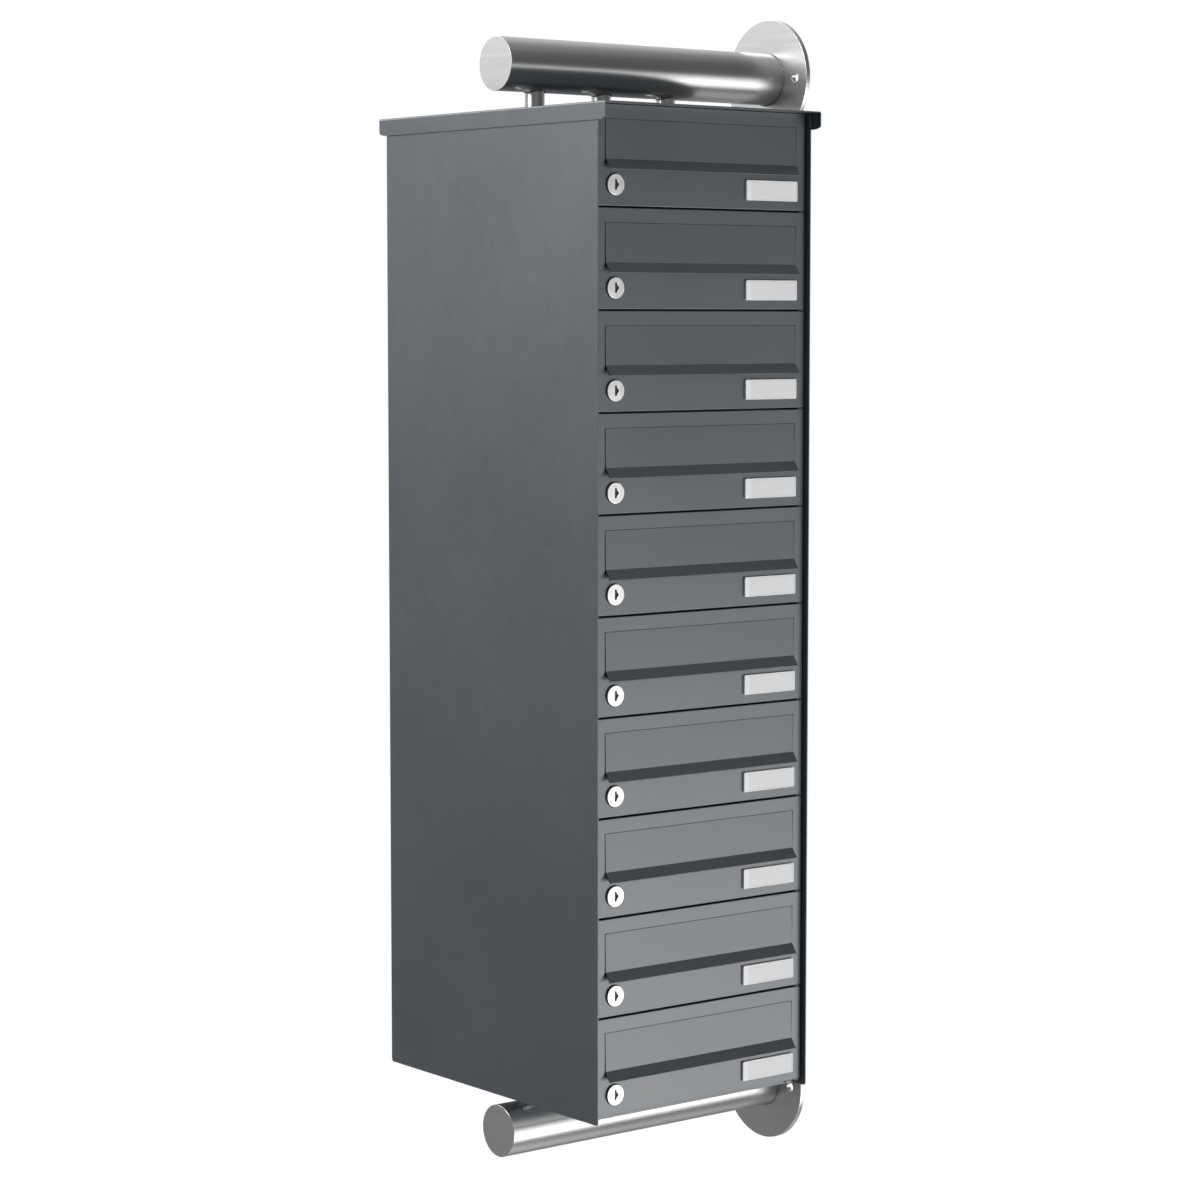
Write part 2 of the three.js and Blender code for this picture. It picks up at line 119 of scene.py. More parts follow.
def place_camera():
    data = bpy.data.cameras.new("camera")
    data.lens = CAMERA_LENS
    data.sensor_width = 36
    data.clip_end = 100
    camera = bpy.data.objects.new("camera", data)
    camera.location = CAMERA_PLACE
    yaw, pitch = math.radians(CAMERA_YAW), math.radians(CAMERA_PITCH)
    look = Vector((
        math.sin(yaw) * math.cos(pitch),
        math.cos(yaw) * math.cos(pitch),
        math.sin(pitch),
    ))
    camera.rotation_euler = look.to_track_quat("-Z", "Y").to_euler()
    bpy.context.scene.collection.objects.link(camera)
    bpy.context.scene.camera = camera


place_camera()

# ---------- node helpers ----------


def feed(socket, value):
    """Links a socket's value, or sets a constant on the socket itself."""
    if isinstance(value, bpy.types.NodeSocket):
        socket.id_data.links.new(value, socket)
    elif isinstance(value, tuple) and len(value) == 3 and socket.type == "RGBA":
        socket.default_value = (*value, 1)
    else:
        socket.default_value = value


def add(tree, kind, settings=(), **inputs):
    """A new node. Inputs are named by number as in_0, or by their name in lower case."""
    node = tree.nodes.new("ShaderNode" + kind)
    for key, value in dict(settings).items():
        setattr(node, key, value)
    for key, value in inputs.items():
        if key.startswith("in_"):
            feed(node.inputs[int(key[3:])], value)
        else:
            feed(node.inputs[key.replace("_", " ").title()], value)
    return node


def math_node(tree, operation, a, b):
    return add(tree, "Math", {"operation": operation}, in_0=a, in_1=b).outputs[0]


def shared(tree, a, share, b):
    """That share of a, and the rest of b."""
    return math_node(
        tree, "ADD",
        math_node(tree, "MULTIPLY", a, share),
        math_node(tree, "MULTIPLY", b, 1.0 - share),
    )


def noise(tree, coords, scale, detail=2.0, rough=0.5):
    node = add(tree, "TexNoise", vector=coords, scale=scale, detail=detail, roughness=rough)
    return node.outputs["Fac"]


def ranged(tree, value, low, high, to_low=0.0, to_high=1.0, smooth=False):
    settings = {"interpolation_type": "SMOOTHSTEP"} if smooth else {}
    node = add(tree, "MapRange", settings, in_0=value, in_1=low, in_2=high, in_3=to_low, in_4=to_high)
    return node.outputs[0]


def mixed(tree, factor, a, b):
    node = add(tree, "Mix", {"data_type": "RGBA"})
    feed(node.inputs[0], factor)
    feed(node.inputs[6], a)
    feed(node.inputs[7], b)
    return node.outputs[2]


def bump(tree, height, strength, distance, normal=None):
    node = add(tree, "Bump", strength=strength, distance=distance, height=height)
    if normal is not None:
        feed(node.inputs["Normal"], normal)
    return node.outputs[0]


def stretched(tree, coords, scale):
    return add(tree, "Mapping", vector=coords, scale=scale).outputs[0]


def new_material(name):
    material = bpy.data.materials.new(name)
    material.use_nodes = True
    tree = material.node_tree
    shader = tree.nodes["Principled BSDF"]
    coords = add(tree, "TexCoord").outputs["Object"]
    return material, tree, shader, coords


# ---------- materials ----------

COAT_DARK = (0.0280, 0.0394, 0.0500)
COAT_LIGHT = (0.0335, 0.0466, 0.0585)
# The next colour is the grey of rubbed edges, and also of the painted glints in the coat's grain.
COAT_WORN_AND_GLINT = (0.078, 0.086, 0.092)
COAT_IOR = 2.1


def powder_coat(name, worn):
    """Semi-matt anthracite powder coat: a fine pebbled skin with slow drifts in tone and gloss.
    worn goes on folded and cut edges, where the film is thinner and rubbed lighter."""
    material, tree, shader, coords = new_material(name)
    drift = noise(tree, coords, 5.0, 3.0)
    mottle = noise(tree, coords, 90.0, 4.0, 0.6)
    peel = noise(tree, coords, 420.0, 2.0)
    grain = noise(tree, coords, 1500.0, 2.0, 0.6)
    tone = shared(tree, drift, 0.6, mottle)
    colour = mixed(tree, ranged(tree, tone, 0.3, 0.7), COAT_DARK, COAT_LIGHT)
    # painted glints: the brightest specks of the fine grain are lightened as painted highlights
    painted_glint = ranged(tree, grain, 0.66, 0.80, 0.0, 0.30)
    colour = mixed(tree, painted_glint, colour, COAT_WORN_AND_GLINT)
    roughness = ranged(tree, math_node(tree, "ADD", mottle, drift), 0.7, 1.3, 0.35, 0.41)
    if worn:
        scuffs = noise(tree, coords, 60.0, 5.0, 0.65)
        rub = math_node(tree, "MULTIPLY", scuffs, noise(tree, coords, 12.0, 2.0))
        rubbed = ranged(tree, rub, 0.20, 0.34, 0.12, 0.85, smooth=True)
        colour = mixed(tree, rubbed, colour, COAT_WORN_AND_GLINT)
        roughness = ranged(tree, rub, 0.18, 0.34, 0.40, 0.33)
    feed(shader.inputs["Base Color"], colour)
    feed(shader.inputs["Roughness"], roughness)
    shader.inputs["IOR"].default_value = COAT_IOR
    pebbled = bump(tree, peel, 0.10, 0.0002)
    feed(shader.inputs["Normal"], bump(tree, grain, 0.12, 0.00006, pebbled))
    return material


def brushed_metal(name, tint, brush, rough=(0.25, 0.275), streak=0.03):
    """Ground stainless steel. brush is the noise scale along x, y and z: high across the grinding
    lines, low along them."""
    material, tree, shader, coords = new_material(name)
    lines = noise(tree, stretched(tree, coords, brush), 1.0, 4.0, 0.7)
    coarse = tuple(scale * 0.12 for scale in brush)
    broad = noise(tree, stretched(tree, coords, coarse), 1.0, 2.0)
    smudge = noise(tree, coords, 18.0, 3.0)
    both = shared(tree, lines, 0.6, broad)
    darker = tuple(channel * 0.95 for channel in tint)
    feed(shader.inputs["Base Color"], mixed(tree, ranged(tree, both, 0.3, 0.7), darker, tint))
    polish = shared(tree, both, 0.8, smudge)
    feed(shader.inputs["Roughness"], ranged(tree, polish, 0.3, 0.7, *rough))
    feed(shader.inputs["Normal"], bump(tree, both, streak, 0.00005))
    shader.inputs["Metallic"].default_value = 1.0
    return material


def weld_metal(name):
    """Weld bead: ripples are in the mesh; a faint heat tint runs from straw to blue in patches."""
    material, tree, shader, coords = new_material(name)
    heat = noise(tree, coords, 55.0, 3.0)
    colour = mixed(tree, ranged(tree, heat, 0.35, 0.55), (0.32, 0.31, 0.30), (0.25, 0.23, 0.21))
    colour = mixed(tree, ranged(tree, heat, 0.58, 0.70), colour, (0.16, 0.165, 0.18))
    feed(shader.inputs["Base Color"], colour)
    feed(shader.inputs["Roughness"], ranged(tree, noise(tree, coords, 400.0), 0.3, 0.7, 0.44, 0.60))
    feed(shader.inputs["Normal"], bump(tree, noise(tree, coords, 900.0, 3.0), 0.25, 0.0002))
    shader.inputs["Metallic"].default_value = 1.0
    return material


def zinc_metal(name):
    """Zinc-plated steel: faint spangles and a dull, slightly blue grey."""
    material, tree, shader, coords = new_material(name)
    cells = add(tree, "TexVoronoi", vector=coords, scale=170.0)
    spangle = add(tree, "SeparateColor", in_0=cells.outputs["Color"]).outputs[0]
    stain = noise(tree, coords, 25.0, 4.0, 0.6)
    colour = mixed(tree, spangle, (0.36, 0.37, 0.38), (0.50, 0.51, 0.53))
    colour = mixed(tree, ranged(tree, stain, 0.52, 0.74, 0.0, 0.5), colour, (0.27, 0.28, 0.28))
    feed(shader.inputs["Base Color"], colour)
    uneven = math_node(tree, "ADD", spangle, stain)
    feed(shader.inputs["Roughness"], ranged(tree, uneven, 0.4, 1.5, 0.34, 0.52))
    feed(shader.inputs["Normal"], bump(tree, noise(tree, coords, 700.0, 3.0), 0.12, 0.0001))
    shader.inputs["Metallic"].default_value = 0.9
    return material


def nickel_metal(name):
    """Nickel-plated lock parts: bright, with hairline scratches from keys."""
    material, tree, shader, coords = new_material(name)
    hair = noise(tree, stretched(tree, coords, (5200.0, 400.0, 700.0)), 1.0, 3.0, 0.6)
    dull = noise(tree, coords, 160.0, 3.0)
    colour = mixed(tree, ranged(tree, dull, 0.3, 0.7), (0.78, 0.78, 0.775), (0.83, 0.83, 0.825))
    feed(shader.inputs["Base Color"], colour)
    worn = math_node(tree, "ADD", hair, dull)
    feed(shader.inputs["Roughness"], ranged(tree, worn, 0.7, 1.3, 0.38, 0.43))
    feed(shader.inputs["Normal"], bump(tree, hair, 0.04, 0.00002))
    shader.inputs["Metallic"].default_value = 1.0
    return material


def plastic(name, low, high, rough, coat=0.0, fibre=0.0):
    """Moulded plastic, rubber or card, with a fine moulded skin or paper fibre."""
    material, tree, shader, coords = new_material(name)
    drift = noise(tree, coords, 40.0, 4.0, 0.6)
    skin = noise(tree, coords, 1300.0, 3.0, 0.6)
    tone = shared(tree, skin, fibre, drift)
    feed(shader.inputs["Base Color"], mixed(tree, ranged(tree, tone, 0.3, 0.7), low, high))
    feed(shader.inputs["Roughness"], ranged(tree, drift, 0.3, 0.7, rough, rough + 0.08))
    feed(shader.inputs["Normal"], bump(tree, skin, 0.06, 0.0001))
    shader.inputs["Coat Weight"].default_value = coat
    shader.inputs["Coat Roughness"].default_value = 0.12
    return material


COAT = powder_coat("powder_coat", False)
COAT_EDGE = powder_coat("powder_coat_edge", True)
STEEL = (0.62, 0.62, 0.615)
TUBE_STEEL = brushed_metal("tube_steel", STEEL, (2600.0, 70.0, 70.0))
# The tube's steel with its tint raised: painted light that brightens the end discs and wall plates.
DISC_STEEL_PAINTED_LIGHT = brushed_metal("disc_steel_painted_light", (0.70, 0.70, 0.695), (70.0, 70.0, 2600.0), rough=(0.26, 0.38))
POST_STEEL = brushed_metal("post_steel", STEEL, (70.0, 70.0, 2600.0))
SCREW_STEEL = brushed_metal("screw_steel", (0.55, 0.55, 0.55), (900.0, 900.0, 900.0))
WELD = weld_metal("weld_bead")
ZINC = zinc_metal("zinc_plate")
NICKEL = nickel_metal("lock_nickel")
# near black on the lock rim's side wall: painted shade and painted dark reflection
LOCK_RIM_PAINTED_SHADE = plastic("lock_rim_painted_shade", (0.040, 0.040, 0.041), (0.06, 0.06, 0.061), 0.40)
# near black in the shallow keyway: painted shade
KEYWAY_PAINTED_SHADE = plastic("keyway_painted_shade", (0.030, 0.030, 0.031), (0.05, 0.05, 0.051), 0.45)
PLATE_FRAME = plastic("name_plate_frame", (0.77, 0.77, 0.775), (0.81, 0.81, 0.815), 0.42, coat=0.08)
PLATE_CARD = plastic("name_plate_card", (0.69, 0.69, 0.695), (0.73, 0.73, 0.735), 0.55, coat=0.08, fibre=0.6)
RUBBER = plastic("buffer_rubber", (0.02, 0.02, 0.021), (0.032, 0.032, 0.033), 0.6)
COATED = (COAT, COAT_EDGE)

# ---------- mesh helpers ----------


def arc(cu, cv, radius, start, end, steps):
    """Points of an arc in degrees, both ends included."""
    turn = [math.radians(start + (end - start) * i / steps) for i in range(steps + 1)]
    return [(cu + radius * math.cos(t), cv + radius * math.sin(t)) for t in turn]


def rounded(points, radii, steps=6):
    """A polygon with its corners rounded. radii holds one radius for each corner."""
    out = []
    for i, (point, radius) in enumerate(zip(points, radii)):
        here = Vector(point)
        before = (Vector(points[i - 1]) - here).normalized()
        after = (Vector(points[(i + 1) % len(points)]) - here).normalized()
        if radius <= 0:
            out.append(tuple(here))
            continue
        half = before.angle(after) / 2
        centre = here + (before + after).normalized() * (radius / math.sin(half))
        reach = radius / math.tan(half)
        start, end = here + before * reach - centre, here + after * reach - centre
        turn = start.angle_signed(end)
        for step in range(steps + 1):
            spin = Matrix.Rotation(-turn * step / steps, 2)
            out.append(tuple(centre + spin @ start))
    return out


def rectangle(u0, u1, v0, v1, radius=0.0, steps=6):
    points = [(u0, v0), (u1, v0), (u1, v1), (u0, v1)]
    return rounded(points, [radius] * 4, steps)


def circle(cu, cv, radius, sides):
    return arc(cu, cv, radius, 0, 360 * (sides - 1) / sides, sides - 1)


AXES = {
    "x": lambda u, v, w: Vector((w, u, v)),
    "y": lambda u, v, w: Vector((u, w, v)),
    "z": lambda u, v, w: Vector((u, v, w)),
}


def sharp_edges(bm, degrees):
    limit = math.radians(degrees)
    return [e for e in bm.edges if len(e.link_faces) == 2 and e.calc_face_angle() > limit]


def soften(bm, offset, segments=2, degrees=35, material=1):
    """Rounds every edge sharper than that many degrees. The rounded faces take the edge material."""
    edges = sharp_edges(bm, degrees)
    bmesh.ops.bevel(
        bm, geom=edges, offset=offset, offset_type="OFFSET", segments=segments,
        profile=0.5, affect="EDGES", clamp_overlap=True, material=material,
    )


def prism(outline, axis, w0, w1, holes=()):
    """A flat outline swept along an axis, as a bmesh. x outlines are drawn in (y, z), y in
    (x, z) and z in (x, y)."""
    bm = bmesh.new()
    place = AXES[axis]
    edges = []
    for loop in (outline, *holes):
        ring = [bm.verts.new(place(u, v, w0)) for u, v in loop]
        edges += [bm.edges.new((ring[i - 1], ring[i])) for i in range(len(ring))]
    if holes:
        bmesh.ops.triangle_fill(bm, edges=edges, use_beauty=True, use_dissolve=False)
    else:
        bm.faces.new(ring)
    swept = bmesh.ops.extrude_face_region(bm, geom=bm.faces[:])
    moved = [v for v in swept["geom"] if isinstance(v, bmesh.types.BMVert)]
    bmesh.ops.translate(bm, verts=moved, vec=place(0, 0, w1 - w0))
    bmesh.ops.recalc_face_normals(bm, faces=bm.faces[:])
    return bm


def lathe(profile, axis, centre, sides, closed=True):
    """A profile of (radius, along) points turned about an axis through centre, as a bmesh."""
    bm = bmesh.new()
    place = AXES[axis]
    middle = Vector(centre)
    rings = []
    for radius, along in profile:
        if radius < 1e-6:
            rings.append([bm.verts.new(middle + place(0, 0, along))])
        else:
            ring = circle(0, 0, radius, sides)
            rings.append([bm.verts.new(middle + place(u, v, along)) for u, v in ring])
    pairs = list(zip(rings, rings[1:]))
    if closed and profile[0][0] > 1e-6:
        pairs.append((rings[-1], rings[0]))
    for one, other in pairs:
        for i in range(sides):
            j = (i + 1) % sides
            if len(one) == 1 and len(other) == 1:
                continue
            if len(one) == 1:
                bm.faces.new((one[0], other[i], other[j]))
            elif len(other) == 1:
                bm.faces.new((one[i], one[j], other[0]))
            else:
                bm.faces.new((one[i], one[j], other[j], other[i]))
    bmesh.ops.recalc_face_normals(bm, faces=bm.faces[:])
    return bm


def rope(path, radius, sides=10, ripples=0, depth=0.0):
    """A closed bead along a loop of points. Ripples swell it as a weld's overlapping drops do."""
    bm = bmesh.new()
    count = len(path)
    rings = []
    for i, point in enumerate(path):
        here = Vector(point)
        along = (Vector(path[(i + 1) % count]) - Vector(path[i - 1])).normalized()
        side = along.cross(Vector((0.31, 0.17, 0.93))).normalized()
        up = side.cross(along)
        swell = radius * (1 + depth * math.sin(2 * math.pi * ripples * i / count))
        rings.append([
            bm.verts.new(here + (side * math.cos(t) + up * math.sin(t)) * swell)
            for t in [2 * math.pi * k / sides for k in range(sides)]
        ])
    for i in range(count):
        one, other = rings[i - 1], rings[i]
        for k in range(sides):
            j = (k + 1) % sides
            bm.faces.new((one[k], one[j], other[j], other[k]))
    bmesh.ops.recalc_face_normals(bm, faces=bm.faces[:])
    return bm


def to_mesh(bm, name):
    mesh = bpy.data.meshes.new(name)
    bm.to_mesh(mesh)
    bm.free()
    return mesh


def together(*bms):
    """Several closed shells as one bmesh."""
    whole = bmesh.new()
    for bm in bms:
        mesh = to_mesh(bm, "part")
        whole.from_mesh(mesh)
        bpy.data.meshes.remove(mesh)
    return whole


def modified(bm, make_modifiers, helpers=()):
    """A bmesh after modifiers, which make_modifiers adds to a stand-in object."""
    mesh = to_mesh(bm, "work")
    work = bpy.data.objects.new("work", mesh)
    bpy.context.scene.collection.objects.link(work)
    make_modifiers(work)
    graph = bpy.context.evaluated_depsgraph_get()
    result = bpy.data.meshes.new_from_object(work.evaluated_get(graph))
    out = bmesh.new()
    out.from_mesh(result)
    for thing in (work, *helpers):
        old = thing.data
        bpy.data.objects.remove(thing)
        bpy.data.meshes.remove(old)
    bpy.data.meshes.remove(result)
    return out


def carved(bm, *cutters):
    """bm with the cutters taken away."""
    tools = []
    for number, cutter in enumerate(cutters):
        tool = bpy.data.objects.new(f"tool_{number}", to_mesh(cutter, "tool"))
        bpy.context.scene.collection.objects.link(tool)
        tools.append(tool)

    def add_booleans(work):
        for tool in tools:
            boolean = work.modifiers.new("cut", "BOOLEAN")
            boolean.operation = "DIFFERENCE"
            boolean.solver = "EXACT"
            boolean.object = tool

    return modified(bm, add_booleans, tools)


def piece(name, bm, body, materials, replaces=(), lift=0.0):
    """A finished piece of the object: bm in millimetres becomes a mesh in the row frame, lifted
    by lift, with smooth shading that keeps flat faces flat."""
    mesh = to_mesh(bm, name)
    mesh.transform(TO_ROW @ Matrix.Translation((0, 0, lift)))
    for material in materials:
        mesh.materials.append(material)
    mesh.shade_smooth()
    mesh.set_sharp_from_angle(angle=math.radians(38))
    obj = bpy.data.objects.new(name, mesh)
    bpy.context.scene.collection.objects.link(obj)
    weighted = obj.modifiers.new("flat_faces", "WEIGHTED_NORMAL")
    weighted.keep_sharp = True
    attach(obj, body)
    if replaces:
        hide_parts(*replaces)
    return obj


# ---------- cladding ----------


def build_side_panels():
    corner = 4.0
    front_top, front_foot = (SIDE_FRONT_Y, SIDE_TOP_Z), (SIDE_FRONT_Y, SIDE_BOTTOM_Z)
    back_foot, back_top = (SIDE_BACK_Y, SIDE_BOTTOM_Z), (SIDE_BACK_Y, SIDE_TOP_Z)
    outline = rounded([front_top, front_foot, back_foot, back_top], [0, corner, corner, 0], 10)
    for side, node in ((-1, "left_side_panel"), (1, "right_side_panel")):
        outer, inner = side * SIDE_OUTER_X, side * (SIDE_OUTER_X - SIDE_SHEET)
        bm = prism(outline, "x", min(outer, inner), max(outer, inner))
        soften(bm, 0.4, 3)
        piece(f"{node}_sheet", bm, "housing", COATED, [node])


ROOF_FOOT_Z = 1080.9
ROOF_FOLD = 2.0
ROOF_PIN_Z, ROOF_PIN_R = 1097, 1.3
CUT_BACK = (14.0, 4.0)  # the curve at each end of a fold's foot: its length and height
SPARE = 3  # how far a cutter reaches past what it cuts


def roof_section(half, top):
    """The roof's sheet, seen from the front: flat, and folded down at both sides."""
    foot, inner, under = ROOF_FOOT_Z, half - SHEET, top - SHEET
    fold, inner_fold = ROOF_FOLD, ROOF_FOLD - SHEET
    return rounded(
        [(-half, foot), (-half, top), (half, top), (half, foot),
         (inner, foot), (inner, under), (-inner, under), (-inner, foot)],
        [0, fold, fold, 0, 0, inner_fold, inner_fold, 0], 8,
    )


def roof_cutter(end, way, half):
    """What is cut from both folds' feet at one end of the roof; way points to the roof's middle."""
    length, height = CUT_BACK
    foot = ROOF_FOOT_Z
    outside = end - way * SPARE
    curve = [
        (end + way * length * (1 - math.cos(t)), foot + height * (1 - math.sin(t)))
        for t in quarter(12)
    ]
    outline = [
        (outside, foot - SPARE), (outside, foot + height), *curve, (end + way * length, foot - SPARE),
    ]
    return prism(outline, "x", -half - SPARE, half + SPARE)


def build_roof():
    low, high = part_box("roof_cap")
    half = (high.x - low.x) / 2 / MM
    front, back, top = row_y(low.y), row_y(high.y), row_z(high.z)
    cutters = [roof_cutter(front, 1, half), roof_cutter(back, -1, half)]
    bm = carved(prism(roof_section(half, top), "y", front, back), *cutters)
    soften(bm, 0.35, 3)
    pin_top = top - SHEET + 0.1
    pin_profile = [(0, ROOF_PIN_Z), (ROOF_PIN_R, ROOF_PIN_Z), (ROOF_PIN_R, pin_top), (0, pin_top)]
    pin = lathe(pin_profile, "z", (*HINGE, 0), 16)
    piece("roof_cap_sheet", together(bm, pin), "housing", COATED, ["roof_cap"])


RIVET_R, RIVET_HEIGHT = 3.2, 1.3
RIVET_ROOT = 0.4  # how deep a rivet head starts inside the panel
RIVET_X = (-142.0, -47.0, 47.0, 142.0)
RIVET_DROP = 3.2  # how far a row of rivets sits below the floor of its box
RIVET_LOW_Z, RIVET_HIGH_Z = 4.0, 1090.0  # the lowest and the highest row


def rivet_head(x, z, y):
    """A rivet's dome on the face at y, which looks backwards."""
    crown = [(RIVET_R * math.cos(t), RIVET_HEIGHT * math.sin(t)) for t in quarter(6)[:-1]]
    profile = [(0, -RIVET_ROOT), (RIVET_R, -RIVET_ROOT), *crown, (0, RIVET_HEIGHT)]
    return lathe(profile, "y", (x, y, z), 20, closed=False)


def build_back():
    low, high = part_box("back_panel")
    half = (high.x - low.x) / 2 / MM
    inner, face = row_y(low.y), row_y(high.y)
    outline = rectangle(-half, half, row_z(low.z), row_z(high.z), 0.8, 3)
    bm = prism(outline, "y", inner, face)
    soften(bm, 0.3, 2)
    piece("back_panel_sheet", bm, "housing", COATED, ["back_panel"])
    heads = []
    for number in range(BOXES + 1):
        height = number * PITCH - RIVET_DROP if number else RIVET_LOW_Z
        for x in RIVET_X:
            heads.append(rivet_head(x, min(height, RIVET_HIGH_Z), face))
    piece("back_rivets", together(*heads), "housing", (COAT_EDGE,))


build_side_panels()
build_roof()
build_back()

# ---------- sheets kept from the CAD model ----------


def finish_node(name, materials, width=0.25):
    """A CAD sheet whose shape is right: welded corners, rounded edges and its finish."""
    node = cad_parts[name]
    node.data.materials.clear()
    for material in materials:
        node.data.materials.append(material)
    weld = node.modifiers.new("weld", "WELD")
    weld.merge_threshold = 0.002 * MM
    bevel = node.modifiers.new("edges", "BEVEL")
    bevel.width = width * MM
    bevel.segments = 2
    bevel.limit_method = "ANGLE"
    bevel.angle_limit = math.radians(40)
    bevel.harden_normals = False
    if len(materials) > 1:
        bevel.material = 1
    weighted = node.modifiers.new("flat_faces", "WEIGHTED_NORMAL")
    weighted.keep_sharp = False
    node.data.shade_smooth()


for number in range(1, BOXES):
    finish_node(f"shelf_{two(number)}", COATED)
finish_node("base_panel", COATED)
finish_node("catch_rail", (ZINC,))
finish_node("hinge_rail", COATED, 0.2)

# ---------- doors ----------

DOOR_X0, DOOR_X1 = -149.6, 149.9
DOOR_Z0, DOOR_Z1 = 0.8, 108.9
DOOR_RETURN = 10.0
HINGE_HOLE_R = 1.6
LOCK = (-123.3, 23.4)
LOCK_HOLE_R = 9.3
FLAP_AXIS = (2.6, 89.7)
SLOT = (-136.6, 136.6, 46.0, 94.1)
SLOT_LIP_Z = 93.38  # the top of the cut-out is bevelled, so that it shows only a fine gap
EAR_X0, EAR_X1 = 137.0, 138.2
EAR_Y0, EAR_Y1, EAR_HALF = 0.6, 5.2, 2.6
STUB_X0, STUB_X1, STUB_R = 134.0, 138.0, 1.0


def rolled_block(x, y, z, roll, fold, corner):
    """A block whose front edges are rounded: roll on the hinge side, fold on the others, and
    corner where two returns meet."""
    bm = bmesh.new()
    weights = bm.edges.layers.float.new("bevel_weight_edge")
    bmesh.ops.create_cube(bm, size=1)
    for vert in bm.verts:
        vert.co = Vector((x[vert.co.x > 0], y[vert.co.y > 0], z[vert.co.z > 0]))
    for edge in bm.edges:
        a, b = edge.verts[0].co, edge.verts[1].co
        if a.y != b.y:
            edge[weights] = corner / roll
        elif a.y == y[0]:
            edge[weights] = 1.0 if a.x == b.x == x[1] else fold / roll

    def fold_edges(work):
        bevel = work.modifiers.new("folds", "BEVEL")
        bevel.limit_method = "WEIGHT"
        bevel.width = roll
        bevel.segments = 6

    return modified(bm, fold_edges)


def door_shell():
    """The folded door: a front with four returns, a 3 mm roll on the hinge side and tighter
    folds elsewhere."""
    t = SHEET
    skin = rolled_block((DOOR_X0, DOOR_X1), (0.0, DOOR_RETURN), (DOOR_Z0, DOOR_Z1), 3.0, 0.8, 0.4)
    hollow = rolled_block(
        (DOOR_X0 + t, DOOR_X1 - t), (t, DOOR_RETURN + 2), (DOOR_Z0 + t, DOOR_Z1 - t), 3.0 - t, 0.2, 0.2)
    return carved(skin, hollow)


def rod(axis, along0, along1, centre, radius, sides=32, edge=0.15):
    """A round bar with eased ends."""
    profile = [
        (0, along0), (radius - edge, along0), (radius, along0 + edge),
        (radius, along1 - edge), (radius - edge, along1), (0, along1),
    ]
    return lathe(profile, axis, centre, sides, closed=False)


def flap_ears():
    """The two ears beside the cut-out, each with the stub pin that the flap swings on."""
    y, z = FLAP_AXIS
    low, high = z - EAR_HALF, z + EAR_HALF
    corners = [(EAR_Y0, low), (EAR_Y1, low), (EAR_Y1, high), (EAR_Y0, high)]
    outline = rounded(corners, [0, 1.2, 1.2, 0], 4)
    shapes = []
    for side in (-1, 1):
        ear = prism(outline, "x", *sorted((side * EAR_X0, side * EAR_X1)))
        soften(ear, 0.15, 2)
        stub_ends = sorted((side * STUB_X0, side * STUB_X1))
        shapes += [ear, rod("x", *stub_ends, (0, y, z), STUB_R, 20)]
    return shapes


def door_leaf():
    x0, x1, z0, z1 = SLOT
    ahead, behind = -1.0, 6.0  # from before the sheet to well behind it
    slot_outline = [
        (ahead, z0), (behind, z0), (behind, z1), (SHEET, z1), (0.0, SLOT_LIP_Z), (ahead, SLOT_LIP_Z),
    ]
    slot = prism(slot_outline, "x", x0, x1)
    lock_hole = prism(circle(*LOCK, LOCK_HOLE_R, 48), "y", ahead, 3.0)
    hinge_hole = prism(circle(*HINGE, HINGE_HOLE_R, 20), "z", DOOR_Z0 - 2, DOOR_Z1 + 2)
    leaf = carved(door_shell(), slot, lock_hole, hinge_hole)
    soften(leaf, 0.16, 2, 42)
    return together(leaf, *flap_ears())


def eased_corner(radius, face, easing, steps):
    """The rounded edge between a disc's face and its rim, as (radius, along) points."""
    return [
        (radius - easing + easing * math.sin(t), face + easing - easing * math.cos(t))
        for t in quarter(steps)
    ]


THREAD_ROOT, THREAD_CREST = 9.2, 9.5
THREAD_START, THREAD_PITCH, THREAD_TURNS = 1.9, 1.05, 11


def lock_housing():
    """Rosette with its collar, threaded barrel and fixing nut of a cam lock. The collar is
    the outer wall behind the rosette's rim, coloured near black: painted shade and painted dark
    reflection."""
    x, z = LOCK
    face, rim, bore = -2.8, 11.5, 7.5
    collar_front, collar_back, collar_flare = face + 0.7, -0.05, 0.6
    tail, easing = 13.6, 0.15
    profile = [(bore, tail), (bore, face + easing), (bore + easing, face)]
    profile += eased_corner(rim, face, 0.55, 5)
    profile += [(rim, collar_front), (rim + collar_flare, collar_back)]
    profile += [(THREAD_ROOT, collar_back), (THREAD_ROOT, 1.6)]
    for turn in range(THREAD_TURNS):
        start = THREAD_START + turn * THREAD_PITCH
        profile += [(THREAD_ROOT, start), (THREAD_CREST, start + 0.35)]
        profile += [(THREAD_CREST, start + 0.5), (THREAD_ROOT, start + 0.85)]
    profile += [(THREAD_ROOT, tail - 0.3), (THREAD_ROOT - 0.3, tail)]
    body = lathe(profile, "y", (x, 0, z), 72)
    # the rim's side wall takes the near-black second material: painted shade and painted dark reflection
    for side in body.faces:
        middle = side.calc_center_median()
        away = math.hypot(middle.x - x, middle.z - z)
        side.material_index = int(away > rim - 0.1 and collar_front < middle.y < -0.1)
    nut = prism(circle(x, z, 13.2, 6), "y", 1.35, 5.0, [circle(x, z, 9.0, 36)])
    soften(nut, 0.4, 2)
    return together(body, nut)


KEYWAY_DEPTH = 1.6


PLUG_FRONT, PLUG_BACK, PLUG_R = -2.82, 17.0, 7.42
PLUG_EASING = 0.2
CAM_FRONT, CAM_REACH, CAM_HALF = 15.0, 21.5, 5.0


